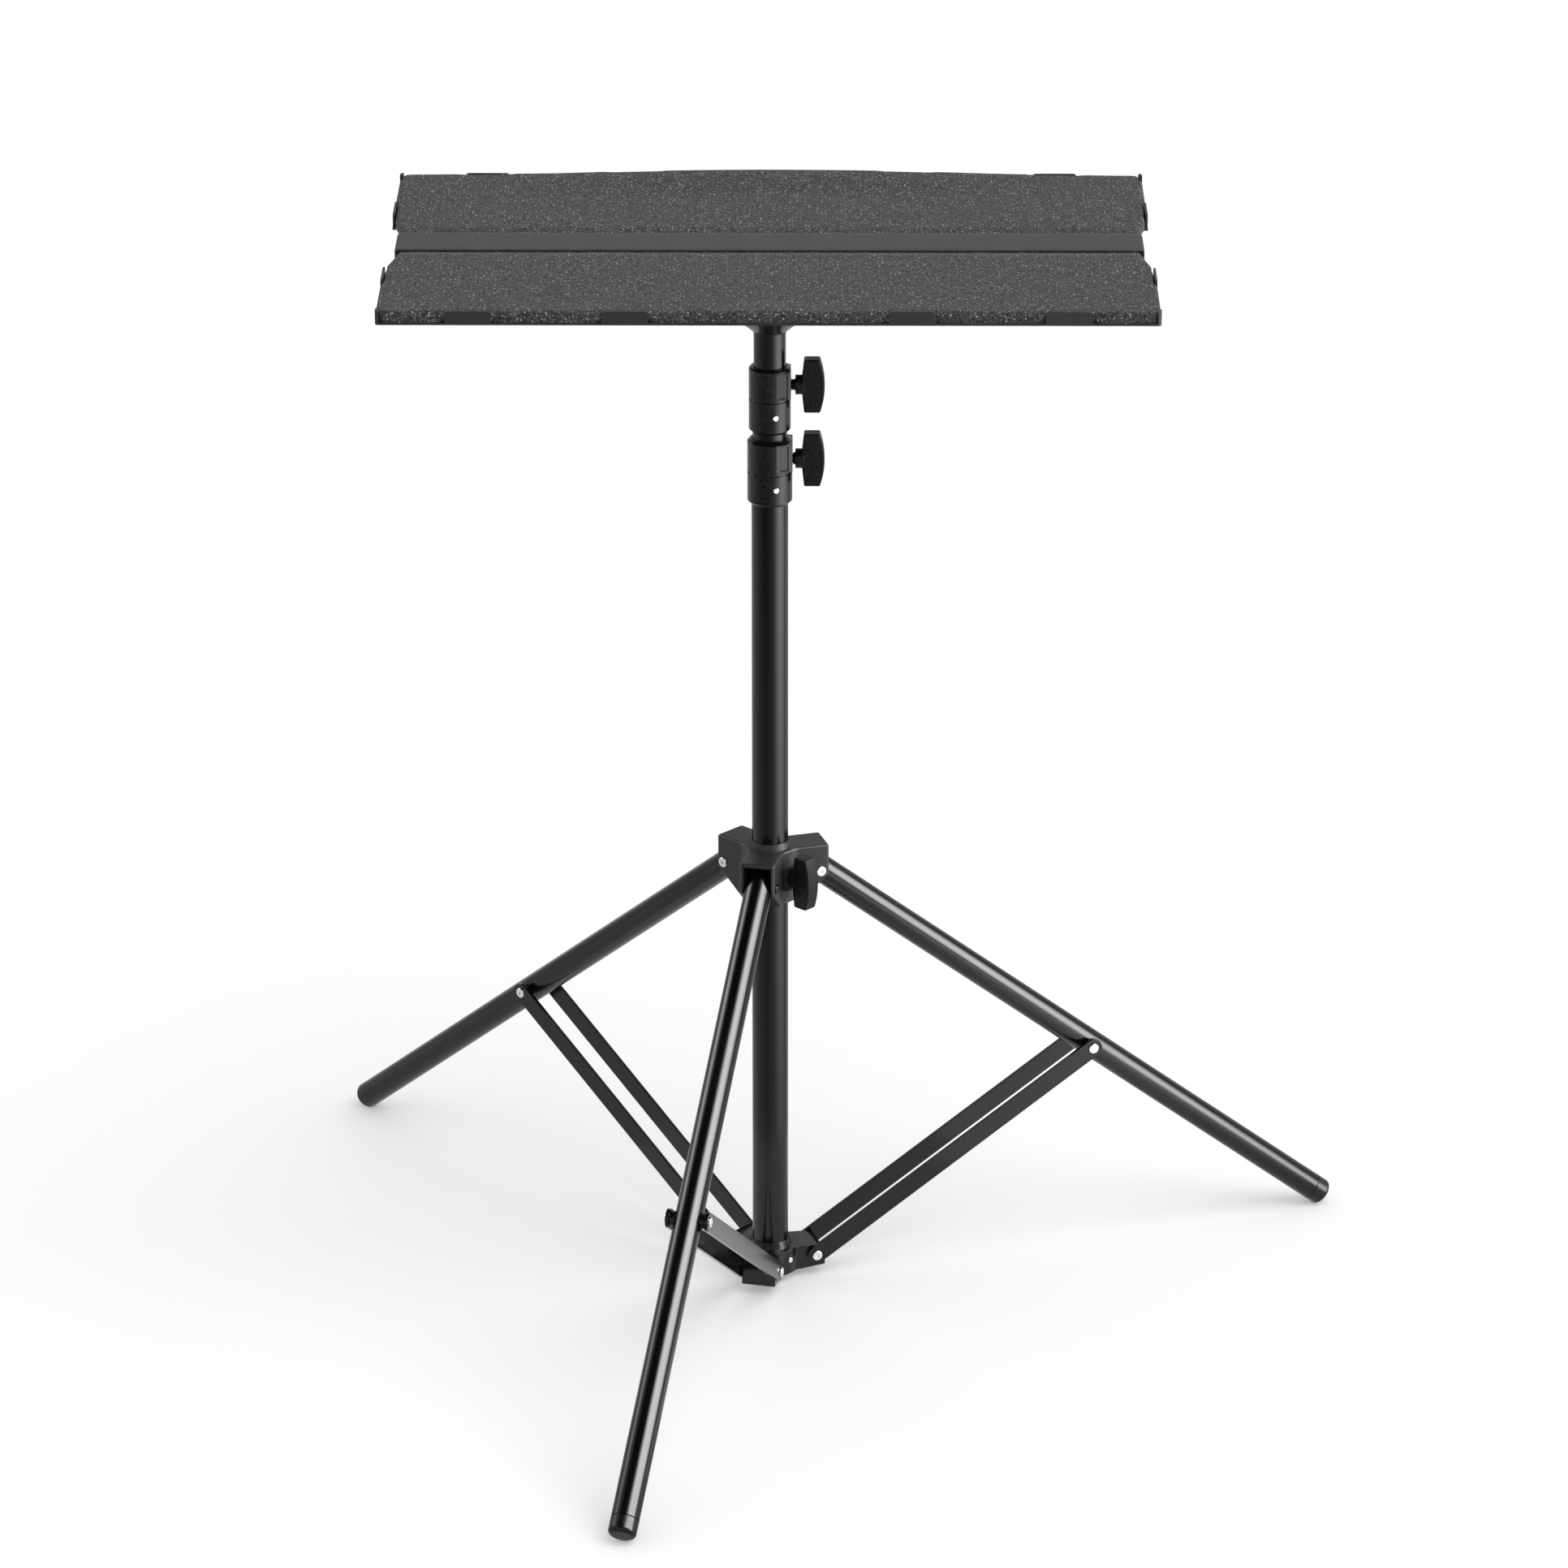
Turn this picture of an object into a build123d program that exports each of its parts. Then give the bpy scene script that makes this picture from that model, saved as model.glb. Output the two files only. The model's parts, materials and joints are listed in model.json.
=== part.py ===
from build123d import *
import math
import os

os.makedirs("parts", exist_ok=True)

# Portable projector stand: a tray on a telescoping pole, held by three folding legs.
# The origin is on the pole's axis at floor level, with Z up.
# Azimuths are in degrees, 0 towards -Y and positive towards +X.

# Clearances
seat_gap = 0.05
pin_play = 0.1
slide_play = 0.2
side_play = 0.3

# Telescoping pole
main_tube_d = 25.0
tube_wall = 0.6
main_tube_length = 592.4
middle_tube_length = 590.0
top_tube_length = 630.0

# Bottom hub, fixed to the foot of the main tube
floor_gap = 6.0
bottom_hub_floor = 3.0
bottom_hub_height = 18.0
bottom_hub_r = 19.5
bottom_arm_half = 12.0
bottom_fillet = 9.0
bottom_neck_height = 5.0
bottom_neck_wall = 2.4
base_pivot_r = 30.0
base_pivot_rise = 10.2
base_eye_r = 7.0
arm_toe_rise = 1.5
arm_edge_round = 1.5

# Legs
front_leg_azimuth = -13.2
legs_apart_angle = 120.0
leg_d = 19.0
leg_wall = 1.0
leg_length = 487.6
leg_angle = 51.64
leg_end_reach = 8.0
foot_cap_length = 12.0
foot_plug_length = 18.0
foot_round = 3.0
foot_rim_chamfer = 0.6

# Leg hub, sliding on the main tube
hub_pivot_r = 33.0
hub_top_rise = 19.2
hub_bottom_drop = 19.0
hub_sleeve_r = 18.0
hood_reach = 6.0
hood_wall = 2.5
hood_fillet = 12.0
hood_edge_round = 1.9
hub_top_round = 1.6
hub_neck_height = 4.5
hub_neck_wall = 2.0
hub_neck_rim = 0.8

# Struts, a pair of flat bars for each leg
leg_pin_distance = 256.0
bar_width = 13.0
bar_thickness = 2.4

# Pins and rivets
hub_pin_r = 2.6
leg_pin_r = 2.5
base_pin_r = 3.0
spacer_r = 5.2
rivet_head_r = 3.6
rivet_head_height = 1.3
rivet_dome = 0.8
rivet_eye_r = 1.2
rivet_eye_depth = 0.7
collar_rivet_r = 2.0
rivet_depth = 1.2
rivet_proud = 0.6
set_rivet_dome = 0.5

# Clamp collars
lower_collar_d = 30.5
lower_collar_below = 22.4
lower_collar_above = 23.8
lower_collar_rim = 2.3
upper_collar_d = 28.3
upper_collar_below = 23.2
upper_collar_above = 22.6
upper_collar_rim = 1.3
collar_gap = 4.6
collar_chamfer = 2.0
slit_width = 0.9
slit_depth = 0.8
lower_rivet_drop = 9.8
upper_rivet_drop = 10.3
collar_rivet_azimuth = 16.5

# Clamp lug on each collar, with flat sides that narrow towards the screw
lug_start = 4.3
lug_step = 0.3
lug_rise = 0.15
lug_end_half = 9.6
lug_inset = 2.0
lug_round = 1.0
lug_recess_width = 6.0
lug_recess_height = 17.0
lug_recess_depth = 0.7

# Clamp knobs: a screw, a round boss and a flat upright grip
knob_azimuth = 90.0
hub_knob_azimuth = 46.8
lower_knob_rise = 8.5
upper_knob_rise = 9.3
knob_screw_r = 3.2
lower_knob_neck = 1.5
upper_knob_neck = 2.6
hub_knob_neck = 2.1
knob_flange_r = 4.6
knob_waist_share = 0.4
knob_boss_r = 6.7
knob_boss_length = 4.6
grip_height = 37.2
grip_thickness = 10.5
grip_depth = 12.0
grip_bulge = 3.2
grip_taper = 1.3
grip_round = 1.2
hub_boss_width = 15.0
hub_boss_height = 17.0
hub_boss_round = 2.0
hub_boss_rise = 3.5
hub_knob_boss_length = 2.0

# Tray socket, a wide cone under the tray
top_tube_exposed = 24.6
socket_height = 53.8
socket_depth = 41.0
socket_lip_wall = 0.5
socket_lip_height = 0.6
socket_cone_r = 74.0
socket_flange_r = 80.0
socket_flange_thickness = 3.0

# Tray, foam mat and strap
tray_width = 509.0
tray_depth = 304.0
tray_thickness = 1.5
tray_corner_r = 2.5
tab_width = 30.0
tab_height = 8.0
tab_round = 2.0
corner_tab_length = 6.0
front_tab_places = (-194.5, -93.0, 93.0, 194.5)
side_tab_places = (-72.0, 72.0)
side_recess_half = 52.0
foam_thickness = 7.5
foam_corner_r = 3.0
strap_width = 38.0
strap_thickness = 1.6
strap_inset = 5.3
strap_return = 30.0
strap_bend_r = 2.4

# Heights and radii that follow from the sizes above
main_r = main_tube_d / 2
middle_r = main_r - tube_wall - slide_play
top_r = middle_r - tube_wall - slide_play
leg_r = leg_d / 2
bottom_hub_bottom = floor_gap
main_tube_bottom = floor_gap + bottom_hub_floor
main_tube_top = main_tube_bottom + main_tube_length
lower_collar_bottom = main_tube_top - lower_collar_below
lower_collar_top = main_tube_top + lower_collar_above
upper_collar_bottom = lower_collar_top + collar_gap
middle_tube_top = upper_collar_bottom + upper_collar_below
middle_tube_bottom = middle_tube_top - middle_tube_length
upper_collar_top = middle_tube_top + upper_collar_above
socket_bottom = upper_collar_top + top_tube_exposed
top_tube_top = socket_bottom + socket_depth
top_tube_bottom = top_tube_top - top_tube_length
tray_bottom = socket_bottom + socket_height
tray_top = tray_bottom + tray_thickness
foam_top = tray_top + foam_thickness

# Leg and strut places in the leg's own upright plane
leg_azimuths = {
    "front": front_leg_azimuth,
    "right": front_leg_azimuth + legs_apart_angle,
    "left": front_leg_azimuth - legs_apart_angle,
}
lean = math.radians(leg_angle)
leg_out = math.sin(lean)
leg_down = math.cos(lean)
hub_pivot_z = foot_round + (leg_length - foot_round) * leg_down + (leg_r - foot_round) * leg_out
base_pivot_z = floor_gap + base_pivot_rise
leg_pin_place = (hub_pivot_r + leg_pin_distance * leg_out, hub_pivot_z - leg_pin_distance * leg_down)
strut_run = leg_pin_place[0] - base_pivot_r
strut_rise = leg_pin_place[1] - base_pivot_z
strut_length = math.hypot(strut_run, strut_rise)
strut_slope = math.degrees(math.atan2(strut_rise, strut_run))
strut_middle = (base_pivot_r + strut_run / 2, base_pivot_z + strut_rise / 2)
hub_top = hub_pivot_z + hub_top_rise
hub_bottom = hub_pivot_z - hub_bottom_drop
hood_end = hub_pivot_r + hood_reach
pocket_half = leg_r + side_play
hood_half = pocket_half + hood_wall
bar_inner = bottom_arm_half + side_play
bar_outer = bar_inner + bar_thickness


def leg_plane(azimuth):
    """Upright plane through the pole's axis: local X points outwards, local Y points up."""
    turn = math.radians(azimuth)
    outward = (math.sin(turn), -math.cos(turn), 0)
    across = (-math.cos(turn), -math.sin(turn), 0)
    return Plane(origin=(0, 0, 0), x_dir=outward, z_dir=across)


def plan_plane(azimuth, height):
    """Level plane: local X points outwards from the pole's axis."""
    turn = math.radians(azimuth)
    return Plane(origin=(0, 0, height), x_dir=(math.sin(turn), -math.cos(turn), 0), z_dir=(0, 0, 1))


def radial_plane(azimuth, height):
    """Upright plane facing outwards from the pole's axis: local Y points up."""
    turn = math.radians(azimuth)
    outward = (math.sin(turn), -math.cos(turn), 0)
    across = (math.cos(turn), math.sin(turn), 0)
    return Plane(origin=(0, 0, height), x_dir=across, z_dir=outward)


def leg_axis_plane(azimuth, distance):
    """Plane square to an open leg, at a distance from the hub pivot along the leg."""
    upright = leg_plane(azimuth)
    place = (hub_pivot_r + distance * leg_out, hub_pivot_z - distance * leg_down)
    outward = upright.x_dir
    along = Vector(outward.X * leg_out, outward.Y * leg_out, -leg_down)
    return Plane(origin=upright.from_local_coords((*place, 0)), x_dir=upright.z_dir, z_dir=along)


def save(piece, name):
    piece.part.label = name
    export_step(piece.part, f"parts/{name}.step")


def riveted_pin(name, upright, place, shank_r, head_face):
    """A pin across an upright plane, with a domed and dimpled head seated on each side."""
    pin_line = Axis(upright.from_local_coords((*place, 0)), upright.z_dir)
    with BuildPart() as piece:
        with BuildSketch(upright):
            with Locations(place):
                Circle(shank_r)
        extrude(amount=head_face, both=True)
        for side in (1, -1):
            with BuildSketch(upright.offset(side * head_face)):
                with Locations(place):
                    Circle(rivet_head_r)
            extrude(amount=side * rivet_head_height)
        end_faces = piece.faces().sort_by(pin_line)
        fillet(end_faces[0].edges() + end_faces[-1].edges(), rivet_dome)
        for side in (1, -1):
            with BuildSketch(upright.offset(side * (head_face + rivet_head_height))):
                with Locations(place):
                    Circle(rivet_eye_r)
            extrude(amount=-side * rivet_eye_depth, mode=Mode.SUBTRACT)
    save(piece, name)


# Telescoping tubes
def tube(name, radius, bottom, length):
    with BuildPart() as piece:
        with BuildSketch(Plane.XY.offset(bottom)):
            Circle(radius)
            Circle(radius - tube_wall, mode=Mode.SUBTRACT)
        extrude(amount=length)
    save(piece, name)


tube("main_tube", main_r, main_tube_bottom, main_tube_length)
tube("middle_tube", middle_r, middle_tube_bottom, middle_tube_length)
tube("top_tube", top_r, top_tube_bottom, top_tube_length)


def set_rivet(name, seat):
    """A domed rivet standing in a shallow hole."""
    with BuildPart() as piece:
        with BuildSketch(seat):
            Circle(collar_rivet_r)
        extrude(amount=rivet_depth + rivet_proud)
        outer_face = piece.faces().sort_by(Axis(seat.origin, seat.z_dir))[-1]
        fillet(outer_face.edges(), set_rivet_dome)
    save(piece, name)


def lug_side_plane(lug_plane, lug_face, lug_start_half, side, height):
    """Plane on one sloping side of a clamp lug, facing out."""
    middle = ((lug_start + lug_face) / 2, side * (lug_start_half + lug_end_half) / 2)
    along = Vector(lug_face - lug_start, side * (lug_end_half - lug_start_half), 0)
    outward = Vector(-side * along.Y, side * along.X, 0)
    place = lug_plane.from_local_coords((*middle, 0))
    turned = lug_plane.location.orientation.Z
    return Plane(origin=(place.X, place.Y, height), x_dir=along.rotate(Axis.Z, turned),
                 z_dir=outward.rotate(Axis.Z, turned))


# Clamp collars: each grips the tube that slides in it and is riveted to the one below
def collar(name, outer_d, bottom, split, top, rim, held_r, sliding_r, knob_z, rivet_z):
    outer_r = outer_d / 2
    lug_face = outer_r + lug_rise
    lug_start_half = math.sqrt(outer_r**2 - lug_start**2) + lug_step
    lug_plane = plan_plane(knob_azimuth, split + lug_inset)
    lug_middle = (split + top) / 2
    with BuildPart() as piece:
        with BuildSketch(Plane.XY.offset(bottom)):
            Circle(outer_r)
        extrude(amount=top - bottom)
        chamfer(piece.edges().group_by(Axis.Z)[0], collar_chamfer)
        chamfer(piece.edges().group_by(Axis.Z)[-1], rim)
        with BuildSketch(Plane.XY.offset(split - slit_width / 2)):
            Circle(outer_r)
            Circle(outer_r - slit_depth, mode=Mode.SUBTRACT)
        extrude(amount=slit_width, mode=Mode.SUBTRACT)
        with BuildSketch(lug_plane):
            with BuildLine():
                Polyline((0, -lug_start_half), (lug_start, -lug_start_half), (lug_face, -lug_end_half),
                         (lug_face, lug_end_half), (lug_start, lug_start_half), (0, lug_start_half),
                         close=True)
            make_face()
            Circle(outer_r - slit_depth, mode=Mode.SUBTRACT)
            with Locations((lug_start / 2, 0)):
                Rectangle(lug_start, outer_d, mode=Mode.SUBTRACT)
        extrude(amount=top - split - 2 * lug_inset)
        lug_line = Axis(lug_plane.origin, lug_plane.x_dir)
        fillet(piece.edges().filter_by(Axis.Z).sort_by(lug_line)[-2:], lug_round)
        for side in (1, -1):
            with BuildSketch(lug_side_plane(lug_plane, lug_face, lug_start_half, side, lug_middle)):
                Rectangle(lug_recess_width, lug_recess_height)
            extrude(amount=-lug_recess_depth, mode=Mode.SUBTRACT)
        with BuildSketch(Plane.XY.offset(bottom)):
            Circle(held_r + seat_gap)
        extrude(amount=split - bottom, mode=Mode.SUBTRACT)
        with BuildSketch(Plane.XY.offset(split)):
            Circle(sliding_r + slide_play)
        extrude(amount=top - split, mode=Mode.SUBTRACT)
        with BuildSketch(radial_plane(knob_azimuth, knob_z)):
            Circle(knob_screw_r + pin_play)
        extrude(amount=outer_d, mode=Mode.SUBTRACT)
        rivet_seat = radial_plane(collar_rivet_azimuth, rivet_z).offset(outer_r - rivet_depth)
        with BuildSketch(rivet_seat):
            Circle(collar_rivet_r + seat_gap)
        extrude(amount=rivet_depth, mode=Mode.SUBTRACT)
    save(piece, name)
    set_rivet(f"{name}_rivet", rivet_seat)


lower_knob_z = main_tube_top + lower_knob_rise
upper_knob_z = middle_tube_top + upper_knob_rise
collar("lower_collar", lower_collar_d, lower_collar_bottom, main_tube_top, lower_collar_top,
       lower_collar_rim, main_r, middle_r, lower_knob_z, main_tube_top - lower_rivet_drop)
collar("upper_collar", upper_collar_d, upper_collar_bottom, middle_tube_top, upper_collar_top,
       upper_collar_rim, middle_r, top_r, upper_knob_z, middle_tube_top - upper_rivet_drop)


# Clamp knobs
def knob(name, azimuth, height, tip, seat, neck_length, boss_length):
    neck_start = seat + side_play
    boss_start = neck_start + neck_length
    waist_r = knob_flange_r - knob_waist_share * neck_length
    grip_start = boss_start + boss_length
    half = grip_height / 2
    upright = leg_plane(azimuth)
    with BuildPart() as piece:
        with BuildSketch(upright):
            with BuildLine():
                outer = grip_start + grip_depth
                inner = grip_start + grip_taper
                Polyline((outer, height + half), (inner, height + half), (grip_start, height + knob_boss_r),
                         (grip_start, height - knob_boss_r), (inner, height - half), (outer, height - half))
                ThreePointArc((outer, height - half), (outer + grip_bulge, height), (outer, height + half))
            make_face()
        extrude(amount=grip_thickness / 2, both=True)
        fillet(piece.edges(), grip_round)
        # Screw, waisted neck and boss
        with BuildSketch(upright):
            with BuildLine():
                ThreePointArc((neck_start, height + knob_flange_r),
                              (neck_start + neck_length / 2, height + waist_r),
                              (boss_start, height + knob_flange_r))
                Polyline((boss_start, height + knob_flange_r), (boss_start, height + knob_boss_r),
                         (grip_start + grip_round, height + knob_boss_r), (grip_start + grip_round, height),
                         (tip, height), (tip, height + knob_screw_r), (neck_start, height + knob_screw_r),
                         (neck_start, height + knob_flange_r))
            make_face()
        revolve(axis=Axis((0, 0, height), upright.x_dir))
    save(piece, name)


knob("lower_knob", knob_azimuth, lower_knob_z, middle_r + side_play, lower_collar_d / 2 + lug_rise,
     lower_knob_neck, knob_boss_length)
knob("upper_knob", knob_azimuth, upper_knob_z, top_r + side_play, upper_collar_d / 2 + lug_rise,
     upper_knob_neck, knob_boss_length)
hub_boss_face = hub_sleeve_r + hub_boss_rise
knob("hub_knob", hub_knob_azimuth, hub_pivot_z, main_r + side_play, hub_boss_face, hub_knob_neck,
     hub_knob_boss_length)


# Leg hub: a sleeve with a hood over each leg's upper end
with BuildPart() as leg_hub:
    with BuildSketch(Plane.XY.offset(hub_bottom)) as hub_plan:
        Circle(hub_sleeve_r)
        for azimuth in leg_azimuths.values():
            with Locations(Location((0, 0, 0), (0, 0, azimuth - 90))):
                Rectangle(hood_end, 2 * hood_half, align=(Align.MIN, Align.CENTER))
        inner_corners = hub_plan.vertices().filter_by(
            lambda corner: math.hypot(corner.X, corner.Y) < hub_pivot_r)
        fillet(inner_corners, hood_fillet)
    extrude(amount=hub_top - hub_bottom)
    hood_edges = leg_hub.edges().filter_by(Axis.Z).filter_by(
        lambda edge: math.hypot(edge.center().X, edge.center().Y) > hub_pivot_r)
    fillet(hood_edges, hood_edge_round)
    fillet(leg_hub.faces().sort_by(Axis.Z)[-1].edges(), hub_top_round)
    # Each hood's underside rises to a round end about its pivot
    for azimuth in leg_azimuths.values():
        with BuildSketch(leg_plane(azimuth)):
            with BuildLine():
                round_end = CenterArc((hub_pivot_r, hub_pivot_z), hood_reach, 0, -60)
                Polyline(round_end @ 1, (hub_sleeve_r, hub_bottom), (hub_sleeve_r, hub_bottom - hood_reach),
                         (hood_end + hood_reach, hub_bottom - hood_reach),
                         (hood_end + hood_reach, hub_pivot_z), round_end @ 0)
            make_face()
        extrude(amount=hood_half + hood_reach, both=True, mode=Mode.SUBTRACT)
    # Clamp boss between two hoods
    with BuildSketch(radial_plane(hub_knob_azimuth, hub_pivot_z)):
        RectangleRounded(hub_boss_width, hub_boss_height, hub_boss_round)
    extrude(amount=hub_boss_face)
    # Tapered neck round the main tube
    with BuildSketch(Plane.XY.offset(hub_top)):
        Circle(main_r + hub_neck_wall)
    with BuildSketch(Plane.XY.offset(hub_top + hub_neck_height)):
        Circle(main_r + hub_neck_rim)
    loft()
    # Pockets for the legs, the bore for the main tube and the holes for pins and screw
    for azimuth in leg_azimuths.values():
        with BuildSketch(leg_plane(azimuth)):
            with Locations((hub_sleeve_r + side_play, hub_top - hood_wall)):
                Rectangle(hood_end, hub_top - hub_bottom, align=(Align.MIN, Align.MAX))
        extrude(amount=pocket_half, both=True, mode=Mode.SUBTRACT)
        with BuildSketch(leg_plane(azimuth)):
            with Locations((hub_pivot_r, hub_pivot_z)):
                Circle(hub_pin_r + seat_gap)
        extrude(amount=hood_half, both=True, mode=Mode.SUBTRACT)
    with BuildSketch(Plane.XY.offset(hub_bottom)):
        Circle(main_r + slide_play)
    extrude(amount=hub_top + hub_neck_height - hub_bottom, mode=Mode.SUBTRACT)
    with BuildSketch(radial_plane(hub_knob_azimuth, hub_pivot_z)):
        Circle(knob_screw_r + pin_play)
    extrude(amount=hub_boss_face, mode=Mode.SUBTRACT)
save(leg_hub, "leg_hub")


# Bottom hub: a closed sleeve with three arms that carry the struts' lower ends
arm_end = base_pivot_r + base_eye_r
bottom_hub_top = bottom_hub_bottom + bottom_hub_height
bottom_rivet_seat = radial_plane(hub_knob_azimuth, base_pivot_z).offset(bottom_hub_r - rivet_depth)
with BuildPart() as bottom_hub:
    with BuildSketch(Plane.XY.offset(bottom_hub_bottom)) as arm_plan:
        Circle(bottom_hub_r)
        for azimuth in leg_azimuths.values():
            with Locations(Location((0, 0, 0), (0, 0, azimuth - 90))):
                Rectangle(arm_end, 2 * bottom_arm_half, align=(Align.MIN, Align.CENTER))
        arm_corners = arm_plan.vertices().filter_by(
            lambda corner: math.hypot(corner.X, corner.Y) < base_pivot_r)
        fillet(arm_corners, bottom_fillet)
    extrude(amount=bottom_hub_height)
    arm_edges = bottom_hub.edges().filter_by(Axis.Z).filter_by(
        lambda edge: math.hypot(edge.center().X, edge.center().Y) > base_pivot_r)
    fillet(arm_edges, arm_edge_round)
    # Each arm ends in a blunt toe, rounded over its pivot
    for azimuth in leg_azimuths.values():
        with BuildSketch(leg_plane(azimuth)):
            with Locations((bottom_hub_r, bottom_hub_bottom)):
                Rectangle(arm_end, bottom_hub_height, align=(Align.MIN, Align.MIN))
            with BuildLine():
                crown = CenterArc((base_pivot_r, base_pivot_z), base_eye_r, 0, 90)
                Polyline(crown @ 1, (bottom_hub_r, bottom_hub_top), (bottom_hub_r, bottom_hub_bottom),
                         (arm_end, bottom_hub_bottom + arm_toe_rise), crown @ 0)
            make_face(mode=Mode.SUBTRACT)
        extrude(amount=2 * bottom_arm_half, both=True, mode=Mode.SUBTRACT)
    with BuildSketch(Plane.XY.offset(bottom_hub_top)):
        Circle(main_r + bottom_neck_wall)
    with BuildSketch(Plane.XY.offset(bottom_hub_top + bottom_neck_height)):
        Circle(main_r + hub_neck_rim)
    loft()
    for azimuth in leg_azimuths.values():
        with BuildSketch(leg_plane(azimuth)):
            with Locations((base_pivot_r, base_pivot_z)):
                Circle(base_pin_r + seat_gap)
        extrude(amount=bottom_arm_half, both=True, mode=Mode.SUBTRACT)
    with BuildSketch(Plane.XY.offset(main_tube_bottom)):
        Circle(main_r + seat_gap)
    extrude(amount=bottom_hub_height + bottom_neck_height, mode=Mode.SUBTRACT)
    with BuildSketch(bottom_rivet_seat):
        Circle(collar_rivet_r + seat_gap)
    extrude(amount=rivet_depth, mode=Mode.SUBTRACT)
save(bottom_hub, "bottom_hub")

set_rivet("bottom_hub_rivet", bottom_rivet_seat)


# Legs, struts and their pins
for side, azimuth in leg_azimuths.items():
    upright = leg_plane(azimuth)
    tube_end = leg_length - foot_cap_length
    with BuildPart() as leg:
        with BuildSketch(leg_axis_plane(azimuth, -leg_end_reach)):
            Circle(leg_r)
            Circle(leg_r - leg_wall, mode=Mode.SUBTRACT)
        extrude(amount=leg_end_reach + tube_end)
        with BuildSketch(upright):
            with Locations((hub_pivot_r, hub_pivot_z)):
                Circle(hub_pin_r + pin_play)
            with Locations(leg_pin_place):
                Circle(leg_pin_r + seat_gap)
        extrude(amount=leg_d, both=True, mode=Mode.SUBTRACT)
    save(leg, f"{side}_leg")

    with BuildPart() as foot_cap:
        with BuildSketch(leg_axis_plane(azimuth, tube_end)):
            Circle(leg_r)
        extrude(amount=foot_cap_length)
        leg_line = Axis(leg_axis_plane(azimuth, 0).origin, leg_axis_plane(azimuth, 0).z_dir)
        fillet(foot_cap.faces().sort_by(leg_line)[-1].edges(), foot_round)
        chamfer(foot_cap.faces().sort_by(leg_line)[0].edges(), foot_rim_chamfer)
        with BuildSketch(leg_axis_plane(azimuth, tube_end)):
            Circle(leg_r - leg_wall - seat_gap)
        extrude(amount=-foot_plug_length)
    save(foot_cap, f"{side}_foot_cap")

    riveted_pin(f"{side}_hub_pin", upright, (hub_pivot_r, hub_pivot_z), hub_pin_r, hood_half)
    riveted_pin(f"{side}_base_pin", upright, (base_pivot_r, base_pivot_z), base_pin_r, bar_outer + side_play)

    with BuildPart() as leg_pin:
        with BuildSketch(upright):
            with Locations(leg_pin_place):
                Circle(spacer_r)
        extrude(amount=bar_inner - side_play, both=True)
        with BuildSketch(leg_axis_plane(azimuth, 0)):
            Circle(leg_r + seat_gap)
        extrude(amount=leg_length, mode=Mode.SUBTRACT)
        with BuildSketch(upright):
            with Locations(leg_pin_place):
                Circle(leg_pin_r)
        extrude(amount=bar_inner - side_play, both=True)
    save(leg_pin, f"{side}_leg_pin")

    for edge, sign in (("left", -1), ("right", 1)):
        with BuildPart() as strut_bar:
            with BuildSketch(upright.offset(-sign * bar_inner)):
                with Locations(strut_middle):
                    SlotCenterToCenter(strut_length, bar_width, rotation=strut_slope)
                with Locations((base_pivot_r, base_pivot_z)):
                    Circle(base_pin_r + pin_play, mode=Mode.SUBTRACT)
            extrude(amount=-sign * bar_thickness)
        save(strut_bar, f"{side}_strut_{edge}_bar")

    pin_line = Axis(upright.from_local_coords((*leg_pin_place, 0)), upright.z_dir)
    with BuildPart() as strut_rivets:
        for sign in (1, -1):
            with BuildSketch(upright.offset(sign * bar_outer)):
                with Locations(leg_pin_place):
                    Circle(rivet_head_r)
            extrude(amount=sign * rivet_head_height)
        end_faces = strut_rivets.faces().sort_by(pin_line)
        fillet(end_faces[0].edges() + end_faces[-1].edges(), rivet_dome)
        for sign in (1, -1):
            with BuildSketch(upright.offset(sign * (bar_outer + rivet_head_height))):
                with Locations(leg_pin_place):
                    Circle(rivet_eye_r)
            extrude(amount=-sign * rivet_eye_depth, mode=Mode.SUBTRACT)
    save(strut_rivets, f"{side}_strut_rivets")


# Tray socket: a shallow cone that widens from a lip round the top tube to a flange under the tray
with BuildPart() as tray_socket:
    with BuildSketch(Plane.XZ):
        with BuildLine():
            lip_r = top_r + slide_play + socket_lip_wall
            flange_bottom = tray_bottom - socket_flange_thickness
            Polyline((0, socket_bottom), (lip_r, socket_bottom), (lip_r, socket_bottom + socket_lip_height),
                     (socket_cone_r, flange_bottom), (socket_flange_r, flange_bottom),
                     (socket_flange_r, tray_bottom), (0, tray_bottom), close=True)
        make_face()
    revolve(axis=Axis.Z)
    with BuildSketch(Plane.XY.offset(socket_bottom)):
        Circle(top_r + slide_play)
    extrude(amount=socket_depth + side_play, mode=Mode.SUBTRACT)
save(tray_socket, "tray_socket")


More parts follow.
